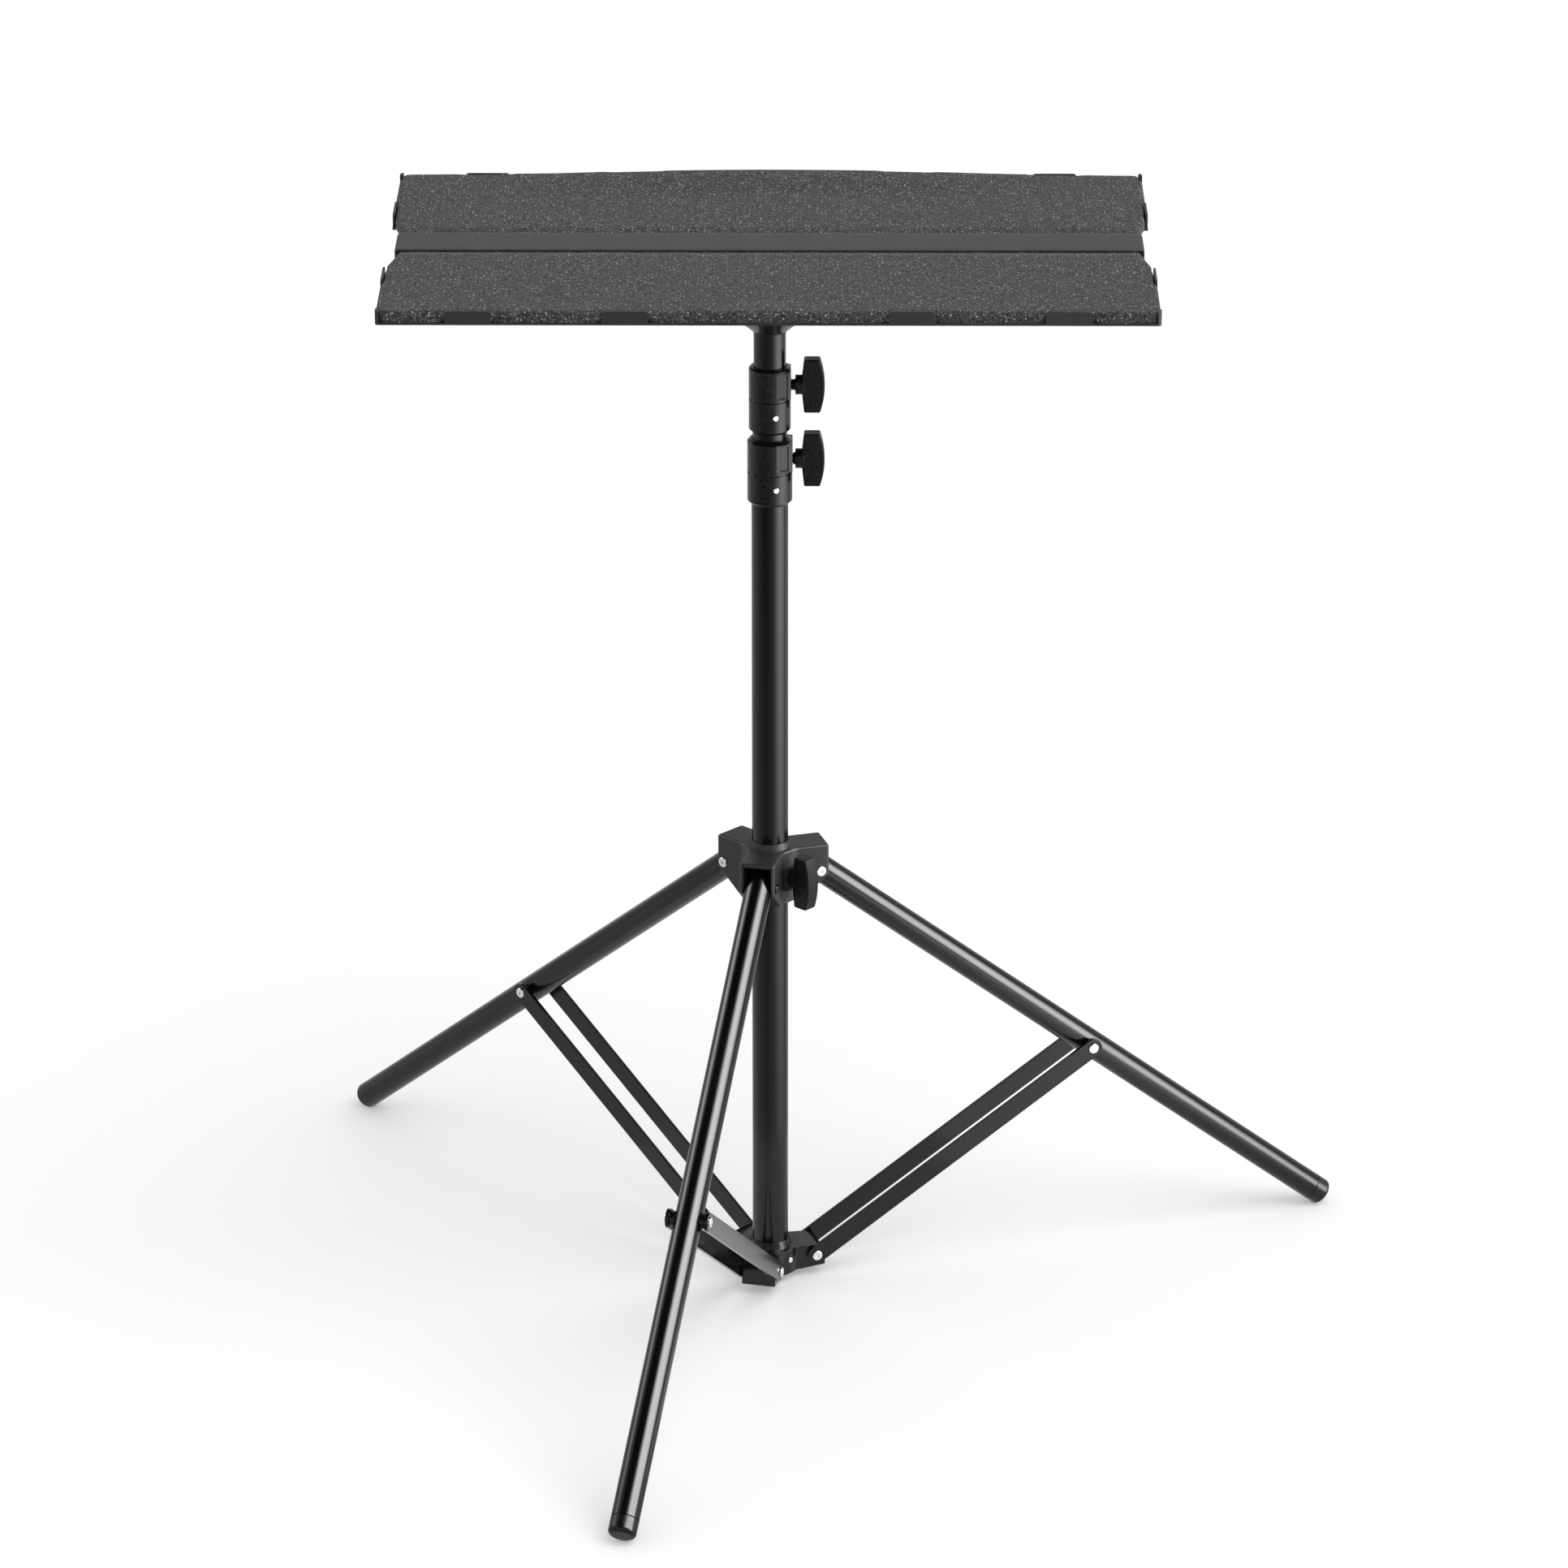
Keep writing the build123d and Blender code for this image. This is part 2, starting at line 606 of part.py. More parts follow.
# Tray: a sheet with upturned tabs and corners, cut back at each side where the strap passes
notch_half = strap_width / 2 + side_play
notch_x = tray_width / 2 - strap_inset - strap_bend_r
with BuildPart() as tray:
    with BuildSketch(Plane.XY.offset(tray_bottom)):
        RectangleRounded(tray_width, tray_depth, tray_corner_r)
        for side in (1, -1):
            with Locations((side * (notch_x + tray_width / 4), 0)):
                Rectangle(tray_width / 2, 2 * side_recess_half, mode=Mode.SUBTRACT)
    extrude(amount=tray_thickness)
    for side in (1, -1):
        with BuildSketch(Plane.XZ.offset(side * tray_depth / 2)) as front_tabs:
            with Locations(*[(place, tray_bottom) for place in front_tab_places]):
                Rectangle(tab_width, tray_thickness + tab_height, align=(Align.CENTER, Align.MIN))
            fillet(front_tabs.vertices().group_by(Axis.Y)[-1], tab_round)
        extrude(amount=-side * tray_thickness)
        with BuildSketch(Plane.YZ.offset(side * tray_width / 2)) as side_tabs:
            with Locations(*[(place, tray_bottom) for place in side_tab_places]):
                Rectangle(tab_width, tray_thickness + tab_height, align=(Align.CENTER, Align.MIN))
            fillet(side_tabs.vertices().group_by(Axis.Y)[-1], tab_round)
        extrude(amount=-side * tray_thickness)
    with BuildSketch(Plane.XY.offset(tray_bottom)):
        RectangleRounded(tray_width, tray_depth, tray_corner_r)
        RectangleRounded(tray_width - 2 * tray_thickness, tray_depth - 2 * tray_thickness,
                         tray_corner_r - tray_thickness, mode=Mode.SUBTRACT)
        Rectangle(tray_width - 2 * tray_corner_r, tray_depth, mode=Mode.SUBTRACT)
        Rectangle(tray_width, tray_depth - 2 * corner_tab_length, mode=Mode.SUBTRACT)
    extrude(amount=tray_thickness + tab_height)
save(tray, "tray")

# Foam mat: lies inside the tabs, with a groove that the strap presses into it
foam_width = tray_width - 2 * (tray_thickness + side_play)
foam_depth = tray_depth - 2 * (tray_thickness + side_play)
with BuildPart() as foam_mat:
    with BuildSketch(Plane.XY.offset(tray_top)):
        RectangleRounded(foam_width, foam_depth, foam_corner_r)
        for side in (1, -1):
            with Locations((side * (notch_x + tray_width / 4), 0)):
                Rectangle(tray_width / 2, 2 * notch_half, mode=Mode.SUBTRACT)
    extrude(amount=foam_thickness)
    with BuildSketch(Plane.XY.offset(foam_top - strap_thickness)):
        Rectangle(tray_width, 2 * notch_half)
    extrude(amount=strap_thickness, mode=Mode.SUBTRACT)
save(foam_mat, "foam_mat")

# Strap: lies across the mat, turns down over both side edges and under the tray
strap_outer_x = tray_width / 2 - strap_inset
strap_bottom = tray_bottom - strap_thickness
with BuildPart() as strap:
    with BuildSketch(Plane.XZ):
        with Locations((0, (foam_top + strap_bottom) / 2)):
            RectangleRounded(2 * strap_outer_x, foam_top - strap_bottom, strap_bend_r)
            RectangleRounded(2 * (strap_outer_x - strap_thickness),
                             foam_top - strap_bottom - 2 * strap_thickness,
                             strap_bend_r - strap_thickness, mode=Mode.SUBTRACT)
        with Locations((0, strap_bottom)):
            Rectangle(2 * (strap_outer_x - strap_return), strap_thickness, align=(Align.CENTER, Align.MIN),
                      mode=Mode.SUBTRACT)
    extrude(amount=strap_width / 2, both=True)
save(strap, "strap")
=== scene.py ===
import json
import math

import bmesh
import bpy
from mathutils import Matrix, Vector, noise


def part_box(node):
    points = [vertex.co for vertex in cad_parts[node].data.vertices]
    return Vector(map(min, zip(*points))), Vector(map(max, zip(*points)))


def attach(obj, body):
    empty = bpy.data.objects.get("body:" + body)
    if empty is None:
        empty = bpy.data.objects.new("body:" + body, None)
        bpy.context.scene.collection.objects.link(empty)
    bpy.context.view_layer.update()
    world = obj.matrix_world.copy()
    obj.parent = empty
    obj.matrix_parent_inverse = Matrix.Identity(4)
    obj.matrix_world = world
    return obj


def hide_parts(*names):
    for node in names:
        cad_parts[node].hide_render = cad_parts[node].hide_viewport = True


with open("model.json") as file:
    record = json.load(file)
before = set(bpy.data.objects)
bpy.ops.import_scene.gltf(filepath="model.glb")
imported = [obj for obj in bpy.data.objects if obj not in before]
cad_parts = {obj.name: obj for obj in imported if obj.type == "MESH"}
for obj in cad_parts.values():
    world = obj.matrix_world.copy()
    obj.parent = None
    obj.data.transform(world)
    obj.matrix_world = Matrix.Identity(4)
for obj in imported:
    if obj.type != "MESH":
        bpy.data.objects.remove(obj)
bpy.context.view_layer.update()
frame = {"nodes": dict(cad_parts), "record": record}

# Portable projector stand: satin black tubes and hubs, a sheet-metal tray, a foam mat and an elastic strap.
# Sizes are in metres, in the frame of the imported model: X right, Y to the back, Z up.

# Camera, at the photograph's viewing angle
CAMERA_PLACE = (0.0291, -4.4377, 2.1710)
CAMERA_PITCH = 0.385
CAMERA_YAW = 0.0044
CAMERA_LENS_MM = 159.95
CAMERA_SENSOR_MM = 36.0
CAMERA_REACH = 200.0

# Studio
FLOOR_HALF = 40.0
FLOOR_GREYS = (0.91, 0.92)
FLOOR_GLOW = 0.29
SKY_LIGHT = 0.56
SKY_PALE = 0.65
SKY_DARK = 0.03
SKY_PALE_BELOW = 0.42
SKY_DARK_ABOVE = 0.7
OVERHEAD_STRENGTH = 1.0
OVERHEAD_ANGLE = math.radians(50)
OVERHEAD_TILT = (math.radians(18), math.radians(28), 0.0)

# Softboxes that only reflections see, each with soft bright spots: across, up, lean (rise of the middle for
# each step across), reach across, reach up, glow
RIGHT_BOX = {"middle": Vector((3.0, -0.42, 2.72)), "aim": Vector((0.0, -0.12, 0.2)), "half": 3.4,
             "spots": ((-0.7, 0.55, -0.5, 2.6, 2.2, 19.0), (-0.9, -1.9, 0.3, 2.4, 1.95, 17.0))}
LEFT_BOX = {"middle": Vector((-1.8, 0.6, 0.85)), "aim": Vector((-0.05, -0.2, 0.2)), "half": 1.5,
            "spots": ((-0.1, 0.45, 0.0, 0.75, 0.95, 6.0),)}
BOX_PALE = 0.45
CARD_GREYS = (0.001, 0.002)

# A round sheet about the pole's foot, seen in reflections only: brighter to the right, dark in front
SHEET_LIFT = 0.002
SHEET_INNER = 0.24
SHEET_OUTER = 2.3
SHEET_SIDES = 96
SHEET_PALE = 0.68
SHEET_NEAR = 0.35
SHEET_FAR = 1.9
SHEET_BRIGHT = {"middle": math.radians(66), "reach": math.radians(48), "near": 0.9, "far": 4.8}
SHEET_DARK = {"middle": math.radians(-28), "reach": math.radians(80), "near": 0.25, "far": 0.68}

# Finishes: the part of a pattern's range, 0 to 1, that a finish is spread over
WHOLE = (0.0, 1.0)
CORE = (0.3, 0.7)
PATCHES = (0.35, 0.7)
PAINT_GLOSS = (0.3, 0.75)
FOAM_MOTTLE = (0.38, 0.64)

# Grains of the foam: size of their cells, radius, share of the cells that have one, grey
FOAM_GRAINS = ((0.0013, 0.0005, 0.75, 0.15), (0.0017, 0.0006, 0.6, 0.28), (0.0027, 0.0007, 0.6, 0.55))

# Weave of the strap
RIB_PITCH = 0.0011
WEAVE_PITCH = 0.0014

# Foam mat
FOAM_STEP = 0.003
FOAM_EDGE_ROUND = 0.003
FOAM_EDGE_SEGMENTS = 4
FOAM_EDGE_ANGLE = math.radians(60)
FOAM_PINCH = 0.0057
FOAM_PINCH_REACH = 0.050
FOAM_PINCH_DEPTH = 0.060
FOAM_REAR_LIFT = 0.0040
FOAM_REAR_REACH = 0.055
FOAM_UNEVEN = 0.0004
FOAM_UNEVEN_SCALE = 16.0
RIM_ROOM = 0.0002
RIM_DEPTH = 0.012
FRONT_TABS = (-0.1945, -0.093, 0.093, 0.1945)
SIDE_TABS = (-0.072, 0.072)
TAB_HALF = 0.0155
TAB_EASE = 0.006
CORNER_POST = 0.0065
GROOVE_ROOM = 0.0002
GROOVE_SLOPE = 0.012

# Strap
STRAP_STEP = 0.003
STRAP_BEND_R = 0.0024
STRAP_BEND_STEPS = 6
STRAP_RETURN = 0.030
DOWN_DEGREES = 270.0
QUARTER_DEGREES = 90.0
STRAP_ACROSS = 18
SELVEDGE_WIDTH = 0.0035
SELVEDGE_HALF = 0.00055
SELVEDGE_STEPS = 6

# Places of the colour sockets on a colour mix node
MIX_FIRST = 6
MIX_SECOND = 7
MIX_RESULT = 2


class Nodes:
    """Small steps for building up a node tree."""

    def __init__(self, tree):
        self.tree = tree

    def add(self, kind, **settings):
        node = self.tree.nodes.new(kind)
        for key, value in settings.items():
            setattr(node, key, value)
        return node

    def put(self, value, socket):
        """Link a socket's value, or set a plain one."""
        if isinstance(value, bpy.types.NodeSocket):
            self.tree.links.new(value, socket)
        else:
            socket.default_value = value

    def remap(self, value, start, end, low, high, shape="LINEAR"):
        """Carry the range start to end over to low to high, held at both ends."""
        node = self.add("ShaderNodeMapRange", interpolation_type=shape)
        self.put(value, node.inputs["Value"])
        node.inputs["From Min"].default_value = start
        node.inputs["From Max"].default_value = end
        self.put(low, node.inputs["To Min"])
        self.put(high, node.inputs["To Max"])
        return node.outputs["Result"]

    def math(self, operation, first, second=0.0):
        node = self.add("ShaderNodeMath", operation=operation)
        self.put(first, node.inputs[0])
        self.put(second, node.inputs[1])
        return node.outputs["Value"]

    def part(self, vector, axis):
        node = self.add("ShaderNodeSeparateXYZ")
        self.put(vector, node.inputs["Vector"])
        return node.outputs[axis]

    def direct(self):
        """1 until a ray has met a matt surface, then 0."""
        return self.remap(self.add("ShaderNodeLightPath").outputs["Diffuse Depth"], *WHOLE, 1.0, 0.0)

    def seen(self):
        """1 where the camera or a reflection looks, 0 where light falls."""
        ray = self.add("ShaderNodeLightPath").outputs
        reflected = self.math("MAXIMUM", ray["Is Glossy Ray"], ray["Is Transmission Ray"])
        return self.math("MAXIMUM", ray["Is Camera Ray"], reflected)


class Finish(Nodes):
    """A node material for one surface."""

    def __init__(self, name):
        self.material = bpy.data.materials.new(name)
        self.material.use_nodes = True
        super().__init__(self.material.node_tree)
        self.shader = self.tree.nodes["Principled BSDF"]
        self.place = self.add("ShaderNodeTexCoord").outputs["Object"]

    def set(self, socket, value):
        self.put(value, self.shader.inputs[socket])

    def noise(self, scale, detail=3.0):
        node = self.add("ShaderNodeTexNoise")
        node.inputs["Scale"].default_value = scale
        node.inputs["Detail"].default_value = detail
        self.put(self.place, node.inputs["Vector"])
        return node.outputs["Fac"]

    def blend(self, share, first, second):
        node = self.add("ShaderNodeMix", data_type="RGBA")
        self.put(share, node.inputs["Factor"])
        self.put(first, node.inputs[MIX_FIRST])
        self.put(second, node.inputs[MIX_SECOND])
        return node.outputs[MIX_RESULT]

    def shade(self, pattern, greys, span=WHOLE):
        """A grey that runs from the first to the second as the pattern crosses the span."""
        dark, pale = greys
        return self.blend(self.remap(pattern, *span, *WHOLE), grey(dark), grey(pale))

    def wave(self, axis, pitch):
        """Even ridges across an axis, from 0 to 1."""
        turned = self.math("MULTIPLY", self.part(self.place, axis), 2 * math.pi / pitch)
        return self.remap(self.math("SINE", turned), -1.0, 1.0, *WHOLE)

    def specks(self, size, radius, kept):
        """Round specks, one in each kept cell."""
        cells = self.add("ShaderNodeTexVoronoi")
        cells.inputs["Scale"].default_value = 1.0 / size
        self.put(self.place, cells.inputs["Vector"])
        draw = self.add("ShaderNodeSeparateColor")
        self.put(cells.outputs["Color"], draw.inputs["Color"])
        chosen = self.remap(draw.outputs["Red"], 1.0 - kept, 1.0 - kept / 2, *WHOLE)
        edge = radius / size
        spot = self.remap(cells.outputs["Distance"], edge / 2, edge, 1.0, 0.0)
        return self.math("MULTIPLY", chosen, spot)

    def soft_edges(self, radius):
        node = self.add("ShaderNodeBevel", samples=4)
        node.inputs["Radius"].default_value = radius
        return node.outputs["Normal"]

    def bump(self, height, distance, normal=None):
        node = self.add("ShaderNodeBump")
        node.inputs["Distance"].default_value = distance
        self.put(height, node.inputs["Height"])
        if normal is not None:
            self.put(normal, node.inputs["Normal"])
        self.set("Normal", node.outputs["Normal"])


def grey(value):
    return (value, value, value, 1.0)


def floor_finish():
    """White paper that looks white to the camera and in reflections, and still takes shadows."""
    made = Finish("floor_paper")
    made.set("Base Color", made.shade(made.noise(scale=0.6, detail=2.0), FLOOR_GREYS))
    made.set("Roughness", 0.9)
    made.set("Specular IOR Level", 0.0)
    made.set("Emission Color", grey(1.0))
    made.set("Emission Strength", made.math("MULTIPLY", made.seen(), FLOOR_GLOW))
    made.material.cycles.emission_sampling = "NONE"
    return made.material


def card_finish(name):
    """A studio card of matt black cloth, ready to be given a glow."""
    made = Finish(name)
    made.set("Base Color", made.shade(made.noise(scale=20.0), CARD_GREYS))
    made.set("Roughness", 1.0)
    made.set("Specular IOR Level", 0.0)
    made.set("Emission Color", grey(1.0))
    made.material.cycles.emission_sampling = "NONE"
    return made


def softbox_finish(name, spots):
    """Pale all over, and brighter at its spots."""
    made = card_finish(name)
    total = BOX_PALE
    for across, up, lean, reach_across, reach_up, glow in spots:
        aside = made.math("SUBTRACT", made.part(made.place, "X"), across)
        level = made.math("ADD", made.math("MULTIPLY", aside, lean), up)
        above = made.math("SUBTRACT", made.part(made.place, "Y"), level)
        aside = made.math("DIVIDE", aside, reach_across)
        above = made.math("DIVIDE", above, reach_up)
        squares = made.math("ADD", made.math("MULTIPLY", aside, aside), made.math("MULTIPLY", above, above))
        spot = made.remap(made.math("SQRT", squares), *WHOLE, glow, 0.0, "SMOOTHSTEP")
        total = made.math("ADD", spot, total)
    made.set("Emission Strength", made.math("MULTIPLY", total, made.direct()))
    return made.material


def sheet_finish():
    """Pale all round, brighter to the right and dark in front, more so further out."""
    made = card_finish("graded_sheet")
    ahead = made.math("MULTIPLY", made.part(made.place, "Y"), -1.0)
    azimuth = made.math("ARCTAN2", made.part(made.place, "X"), ahead)
    length = made.add("ShaderNodeVectorMath", operation="LENGTH")
    made.put(made.place, length.inputs[0])
    distance = length.outputs["Value"]

    def side(graded):
        away = made.math("ABSOLUTE", made.math("SUBTRACT", azimuth, graded["middle"]))
        shape = made.remap(away, 0.0, graded["reach"], 1.0, 0.0, "SMOOTHSTEP")
        strength = made.remap(distance, SHEET_NEAR, SHEET_FAR, graded["near"], graded["far"])
        return made.math("MULTIPLY", shape, strength)

    raised = made.math("ADD", side(SHEET_BRIGHT), SHEET_PALE)
    total = made.math("MAXIMUM", made.math("SUBTRACT", raised, side(SHEET_DARK)), 0.0)
    made.set("Emission Strength", made.math("MULTIPLY", total, made.direct()))
    return made.material


def powder_coat(name, patch_scale, greys, rough, specular, peel_scale, peel_depth):
    """Black powder coat: broad patches vary its grey and its gloss, over a fine orange peel."""
    made = Finish(name)
    patches = made.noise(patch_scale, detail=4.0)
    made.set("Base Color", made.shade(patches, greys, PATCHES))
    made.set("Roughness", made.remap(patches, *PAINT_GLOSS, *rough))
    made.set("Specular IOR Level", specular)
    made.bump(made.noise(peel_scale, detail=2.0), peel_depth, made.soft_edges(radius=0.0004))
    return made.material


def black_paint():
    """Satin coat of the tubes, the legs and the strut bars."""
    return powder_coat("black_paint", patch_scale=9.0, greys=(0.0022, 0.004), rough=(0.14, 0.2),
                       specular=0.4, peel_scale=700.0, peel_depth=0.00001)


def tray_paint():
    """Flatter coat of the tray's sheet metal."""
    return powder_coat("tray_paint", patch_scale=11.0, greys=(0.011, 0.017), rough=(0.36, 0.46),
                       specular=0.45, peel_scale=800.0, peel_depth=0.00002)


def hub_plastic():
    """Softer-looking moulded plastic of the leg hub."""
    made = Finish("hub_plastic")
    patches = made.noise(scale=30.0, detail=4.0)
    grain = made.noise(scale=1600.0, detail=2.0)
    made.set("Base Color", made.shade(patches, (0.012, 0.02), CORE))
    made.set("Roughness", made.remap(grain, *CORE, 0.36, 0.5))
    made.set("Specular IOR Level", 0.5)
    made.bump(grain, 0.00002, made.soft_edges(radius=0.0008))
    return made.material


def mottled_plastic(name, greys, rough, specular, grain_depth):
    """Moulded black plastic, mottled by a fine grain."""
    made = Finish(name)
    grain = made.noise(scale=600.0, detail=3.0)
    made.set("Base Color", made.shade(grain, greys, PATCHES))
    made.set("Roughness", made.remap(grain, *CORE, *rough))
    made.set("Specular IOR Level", specular)
    made.bump(grain, grain_depth, made.soft_edges(radius=0.0006))
    return made.material


def black_plastic():
    """Glossier plastic of the collars, the bottom hub, the tray's socket and the leg pins."""
    return mottled_plastic("black_plastic", greys=(0.001, 0.011), rough=(0.16, 0.26), specular=0.39,
                           grain_depth=0.00002)


def knob_plastic():
    """Harder plastic of the clamp knobs, with a dull sheen."""
    return mottled_plastic("knob_plastic", greys=(0.001, 0.015), rough=(0.32, 0.45), specular=0.2,
                           grain_depth=0.00008)


def foot_rubber():
    """Smooth hard rubber, nearly as glossy as the tubes."""
    made = Finish("foot_rubber")
    patches = made.noise(scale=120.0, detail=4.0)
    made.set("Base Color", made.shade(patches, (0.003, 0.006)))
    made.set("Roughness", made.remap(patches, *CORE, 0.2, 0.3))
    made.set("Specular IOR Level", 0.4)
    made.bump(made.noise(scale=900.0, detail=2.0), 0.00001, made.soft_edges(radius=0.0005))
    return made.material


def rivet_steel():
    """Bright plated steel, lightly scuffed."""
    made = Finish("rivet_steel")
    scuffs = made.noise(scale=900.0, detail=3.0)
    made.set("Base Color", made.shade(scuffs, (0.74, 0.88)))
    made.set("Metallic", 1.0)
    made.set("Roughness", made.remap(scuffs, *CORE, 0.2, 0.34))
    made.bump(scuffs, 0.00002, made.soft_edges(radius=0.0002))
    return made.material


def foam():
    """Dark grey foam, mottled, crowded with pale grains."""
    made = Finish("foam")
    mottle = made.noise(scale=520.0, detail=5.0)
    patches = made.noise(scale=14.0, detail=3.0)
    colour = made.shade(mottle, (0.016, 0.08), FOAM_MOTTLE)
    colour = made.blend(made.remap(patches, *PATCHES, 0.0, 0.25), colour, grey(0.045))
    for size, radius, kept, pale in FOAM_GRAINS:
        colour = made.blend(made.specks(size, radius, kept), colour, grey(pale))
    made.set("Base Color", colour)
    made.set("Roughness", made.remap(mottle, *CORE, 0.85, 0.97))
    made.set("Specular IOR Level", 0.2)
    made.set("Sheen Weight", 0.06)
    made.bump(mottle, 0.0005)
    return made.material


def elastic():
    """Woven elastic webbing: ribs along it and a weave across."""
    made = Finish("elastic")
    weave = made.math("MULTIPLY", made.wave("Y", RIB_PITCH), made.wave("X", WEAVE_PITCH))
    patches = made.noise(scale=60.0, detail=4.0)
    colour = made.shade(weave, (0.036, 0.075))
    made.set("Base Color", made.blend(made.remap(patches, *PATCHES, 0.0, 0.3), colour, grey(0.05)))
    made.set("Roughness", made.remap(patches, *CORE, 0.75, 0.9))
    made.set("Specular IOR Level", 0.25)
    made.set("Sheen Weight", 0.1)
    made.bump(weave, 0.00025)
    return made.material


def studio_piece(name, corners, faces, finish):
    """Put a mesh in the scene that belongs to the studio and not to the stand."""
    mesh = bpy.data.meshes.new(name)
    mesh.from_pydata(corners, [], faces)
    mesh.materials.append(finish)
    piece = bpy.data.objects.new(name, mesh)
    bpy.context.scene.collection.objects.link(piece)
    return piece


def square(half):
    """Corners and face of a flat square about the origin."""
    return [(-half, -half, 0.0), (half, -half, 0.0), (half, half, 0.0), (-half, half, 0.0)], [(0, 1, 2, 3)]


def floor():
    studio_piece("floor", *square(FLOOR_HALF), floor_finish())


def card(name, corners, faces, finish):
    """Put up a card that shows in reflections and nowhere else."""
    put_up = studio_piece(name, corners, faces, finish)
    put_up.visible_camera = False
    put_up.visible_diffuse = False
    put_up.visible_shadow = False
    return put_up


def softbox(name, box):
    """A flat card facing its aim, with its local X across and its local Y up."""
    put_up = card(name, *square(box["half"]), softbox_finish(name, box["spots"]))
    facing = (box["aim"] - box["middle"]).normalized()
    across = facing.cross(Vector((0.0, 0.0, 1.0))).normalized()
    turned = Matrix((across, across.cross(facing), -facing)).transposed()
    put_up.matrix_world = Matrix.Translation(box["middle"]) @ turned.to_4x4()


def graded_sheet():
    """A flat ring just above the floor."""
    corners = []
    for index in range(SHEET_SIDES):
        turn = 2 * math.pi * index / SHEET_SIDES
        for radius in (SHEET_INNER, SHEET_OUTER):
            corners.append((math.cos(turn) * radius, math.sin(turn) * radius, SHEET_LIFT))
    count = len(corners)
    faces = [(start, start + 1, (start + 3) % count, (start + 2) % count)
             for start in range(0, count, 2)]
    card("graded_sheet", corners, faces, sheet_finish())


def lights():
    """Even light from the sky and overhead. Reflections see a pale horizon, a dark ceiling and cards."""
    world = bpy.data.worlds.new("studio")
    bpy.context.scene.world = world
    world.use_nodes = True
    world.cycles.sampling_method = "NONE"
    sky = Nodes(world.node_tree)
    height = sky.part(sky.add("ShaderNodeTexCoord").outputs["Generated"], "Z")
    pale = sky.remap(height, SKY_PALE_BELOW, SKY_DARK_ABOVE, SKY_PALE, SKY_DARK)
    background = world.node_tree.nodes["Background"]
    background.inputs["Color"].default_value = grey(1.0)
    sky.put(sky.remap(sky.seen(), *WHOLE, SKY_LIGHT, pale), background.inputs["Strength"])
    sun_data = bpy.data.lights.new("overhead", "SUN")
    sun_data.energy = OVERHEAD_STRENGTH
    sun_data.angle = OVERHEAD_ANGLE
    sun = bpy.data.objects.new("overhead", sun_data)
    sun.rotation_euler = OVERHEAD_TILT
    sun.visible_glossy = False
    bpy.context.scene.collection.objects.link(sun)
    softbox("right_softbox", RIGHT_BOX)
    softbox("left_softbox", LEFT_BOX)
    graded_sheet()


def camera():
    camera_data = bpy.data.cameras.new("camera")
    camera_data.lens = CAMERA_LENS_MM
    camera_data.sensor_width = CAMERA_SENSOR_MM
    camera_data.clip_end = CAMERA_REACH
    placed = bpy.data.objects.new("camera", camera_data)
    placed.location = CAMERA_PLACE
    placed.rotation_euler = (math.pi / 2 - CAMERA_PITCH, 0.0, CAMERA_YAW)
    bpy.context.scene.collection.objects.link(placed)
    bpy.context.scene.camera = placed


def dress_nodes(finishes):
    """Give each carried-over solid the finish set apart for it, or else that of its material slot; the front
    hub pin, steel like the other pins, is dressed in black paint as painted shade, for the shadow on its
    side of the hood.
    """
    # Painted shade: the front hub pin is steel like the other pins, but it takes the tubes' black paint
    # because its side of the hood lies in shadow.
    own_finishes_and_painted_shade = {"tray": tray_paint(), "leg_hub": hub_plastic(), "front_hub_pin": finishes["black_paint"]}
    for part in frame["record"]["subparts"]:
        mesh = frame["nodes"][part["node"]].data
        mesh.materials.clear()
        mesh.materials.append(own_finishes_and_painted_shade.get(part["node"], finishes[part["material_slot"]]))


def fade(distance, reach):
    """1 at no distance, easing down to 0 at the reach."""
    share = min(1.0, abs(distance) / reach)
    return 0.5 * (1.0 + math.cos(math.pi * share))


def new_piece(name, made, finish):
    """Put a finished mesh in the scene, riding on the tray."""
    mesh = bpy.data.meshes.new(name)
    made.to_mesh(mesh)
    made.free()
    mesh.materials.append(finish)
    mesh.shade_smooth()
    piece = bpy.data.objects.new(name, mesh)
    bpy.context.scene.collection.objects.link(piece)
    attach(piece, "tray_head")
    return piece


def strap_thickness():
    """Measured under the plate, from the strap's lowest point up to the socket's top."""
    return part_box("tray_socket")[1].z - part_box("strap")[0].z


def between_tabs(place, tabs, end):
    """1 along the free edge, easing down to 0 at each tab and at the end."""
    room = min([abs(place - tab) - TAB_HALF for tab in tabs] + [end - abs(place)])
    return 1.0 - fade(max(0.0, room), TAB_EASE)


def foam_slab(half):
    """A slab of small squares about the origin, with its upper rim rounded."""
    made = bmesh.new()
    columns = round(2 * half.x / FOAM_STEP)
    rows = round(2 * half.y / FOAM_STEP)
    bmesh.ops.create_grid(made, x_segments=columns, y_segments=rows, size=1.0)
    for point in made.verts:
        point.co = Vector((point.co.x * half.x, point.co.y * half.y, half.z))
    bmesh.ops.solidify(made, geom=made.faces[:], thickness=2 * half.z)
    rim = [edge for edge in made.edges
           if edge.calc_face_angle(0.0) > FOAM_EDGE_ANGLE and max(end.co.z for end in edge.verts) > 0.0]
    bmesh.ops.bevel(made, geom=rim, offset=FOAM_EDGE_ROUND, segments=FOAM_EDGE_SEGMENTS, profile=0.5,
                    affect="EDGES")
    return made


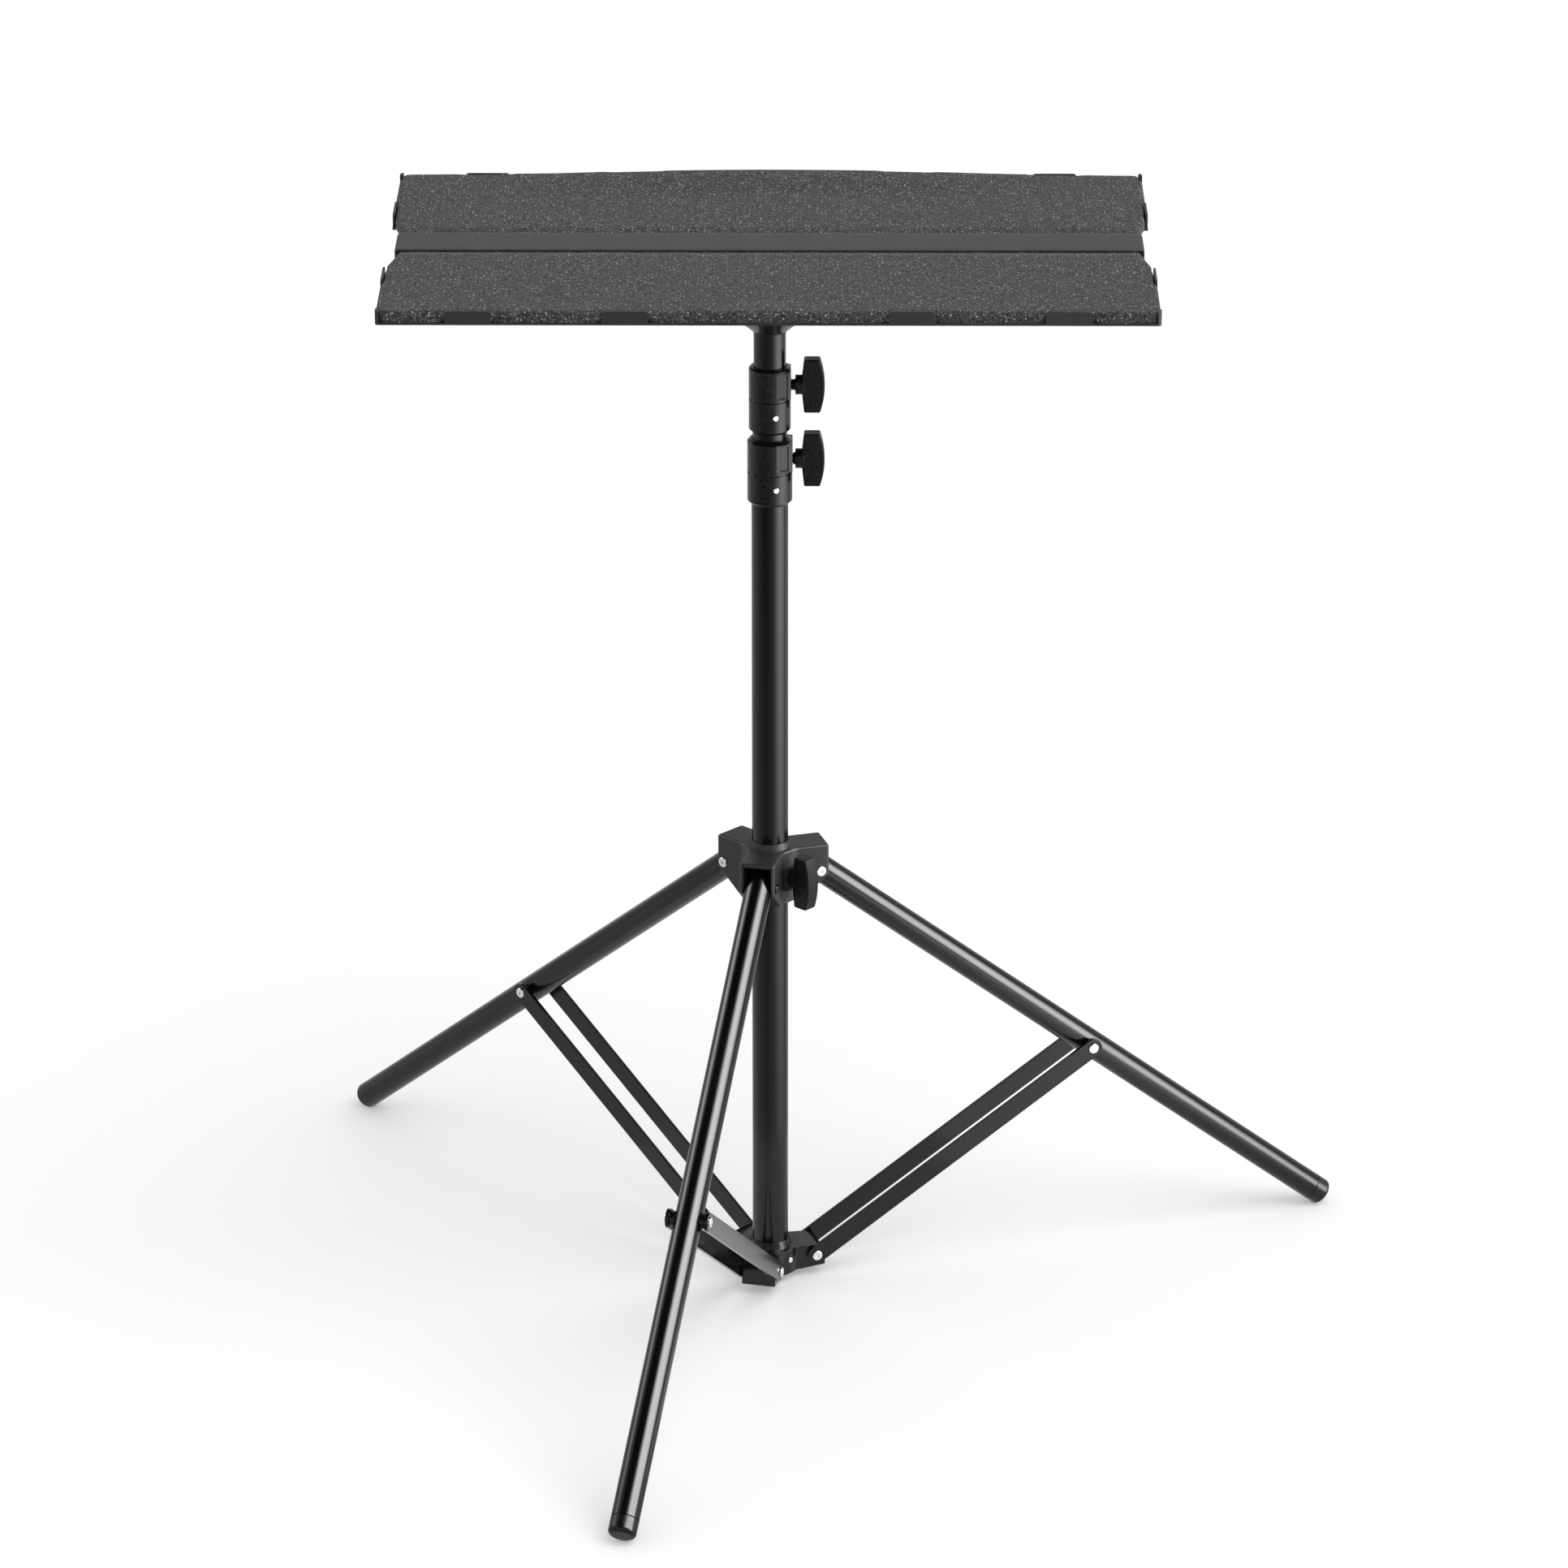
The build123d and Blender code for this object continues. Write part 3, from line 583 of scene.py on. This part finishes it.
def foam_pad(finish):
    """The mat: it swells out between the tabs, the strap presses and pinches it, and its rear edge lifts."""
    low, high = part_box("foam_mat")
    half = (high - low) / 2
    middle = (high + low) / 2
    strap_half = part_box("strap")[1].y - middle.y
    groove = strap_thickness() + GROOVE_ROOM
    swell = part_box("tray")[1].x - high.x - RIM_ROOM
    made = foam_slab(half)
    for point in made.verts:
        x, y, z = point.co
        upper = (z + half.z) / (2 * half.z)
        from_side = half.x - abs(x)
        from_end = half.y - abs(y)
        beyond_strap = max(0.0, abs(y) - strap_half)
        drawn = fade(beyond_strap, FOAM_PINCH_REACH)
        pressed = fade(beyond_strap, GROOVE_SLOPE)
        pinch = FOAM_PINCH * drawn * fade(from_side, FOAM_PINCH_DEPTH)
        free_side = between_tabs(y, SIDE_TABS, half.y - CORNER_POST) * (1.0 - drawn)
        free_end = between_tabs(x, FRONT_TABS, half.x)
        lift = FOAM_REAR_LIFT * fade(half.y - y, FOAM_REAR_REACH) * fade(x, half.x)
        uneven = FOAM_UNEVEN * noise.noise(Vector((x, y, 0.0)) * FOAM_UNEVEN_SCALE)
        outward_x = swell * fade(from_side, RIM_DEPTH) * free_side - pinch
        outward_y = swell * fade(from_end, RIM_DEPTH) * free_end
        point.co.x = middle.x + x + math.copysign(1.0, x) * outward_x
        point.co.y = middle.y + y + math.copysign(1.0, y) * outward_y
        point.co.z = middle.z + z + upper * (uneven * (1.0 - pressed) - groove * pressed) + lift
    piece = new_piece("foam_pad", made, finish)
    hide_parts("foam_mat")
    return piece


def outward_at(degrees):
    """The direction in the XZ plane that is turned up from X by an angle."""
    angle = math.radians(degrees)
    return Vector((math.cos(angle), 0.0, math.sin(angle)))


def strap_route():
    """The strap's middle line as (place, outward direction), from end to end."""
    low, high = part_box("strap")
    bend = STRAP_BEND_R - strap_thickness() / 2
    right = high.x - STRAP_BEND_R
    corners = [Vector((-right, 0.0, low.z + STRAP_BEND_R)), Vector((-right, 0.0, high.z - STRAP_BEND_R)),
               Vector((right, 0.0, high.z - STRAP_BEND_R)), Vector((right, 0.0, low.z + STRAP_BEND_R))]
    inner_end = high.x - STRAP_RETURN
    under = corners[0].z - bend
    route = []

    def run(start, end, outward):
        count = max(1, round((end - start).length / STRAP_STEP))
        for index in range(count):
            route.append((start.lerp(end, index / count), outward))

    start = Vector((-inner_end, 0.0, under))
    facing = DOWN_DEGREES
    outward = outward_at(facing)
    for corner in corners:
        run(start, corner + bend * outward, outward)
        for step in range(STRAP_BEND_STEPS):
            turned = outward_at(facing - QUARTER_DEGREES * step / STRAP_BEND_STEPS)
            route.append((corner + bend * turned, turned))
        facing -= QUARTER_DEGREES
        outward = outward_at(facing)
        start = corner + bend * outward
    end = Vector((inner_end, 0.0, under))
    run(start, end, outward)
    route.append((end, outward))
    return route


def strap_section():
    """Points round the strap's section as (across, outward): a flat band with thinner, round edges."""
    half_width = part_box("strap")[1].y
    half_thick = strap_thickness() / 2
    band = half_width - SELVEDGE_WIDTH
    upper = []
    for index in range(STRAP_ACROSS + 1):
        upper.append((-band + 2 * band * index / STRAP_ACROSS, half_thick))
    for index in range(SELVEDGE_STEPS + 1):
        angle = math.pi / 2 - math.pi * index / SELVEDGE_STEPS
        across = half_width - SELVEDGE_HALF + SELVEDGE_HALF * math.cos(angle)
        upper.append((across, SELVEDGE_HALF * math.sin(angle)))
    return upper + [(-across, -outward) for across, outward in upper]


def strap_band(finish):
    """The strap: flat webbing drawn across the mat, down both sides and back under the tray."""
    route = strap_route()
    section = strap_section()
    made = bmesh.new()
    rings = []
    for place, outward in route:
        rings.append([made.verts.new(place + Vector((0.0, across, 0.0)) + depth * outward)
                      for across, depth in section])
    for ring, following in zip(rings, rings[1:]):
        for index in range(len(section)):
            after = (index + 1) % len(section)
            made.faces.new((ring[index], ring[after], following[after], following[index]))
    made.faces.new(rings[0])
    made.faces.new(rings[-1])
    bmesh.ops.recalc_face_normals(made, faces=made.faces[:])
    piece = new_piece("strap_band", made, finish)
    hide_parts("strap")
    return piece


def main():
    bpy.context.scene.view_settings.view_transform = "Standard"
    camera()
    lights()
    floor()
    finishes = {
        "black_paint": black_paint(),
        "black_plastic": black_plastic(),
        "knob_plastic": knob_plastic(),
        "foot_rubber": foot_rubber(),
        "rivet_steel": rivet_steel(),
        "foam": foam(),
        "elastic": elastic(),
    }
    dress_nodes(finishes)
    pad = foam_pad(finishes["foam"])
    strap_band(finishes["elastic"])


main()
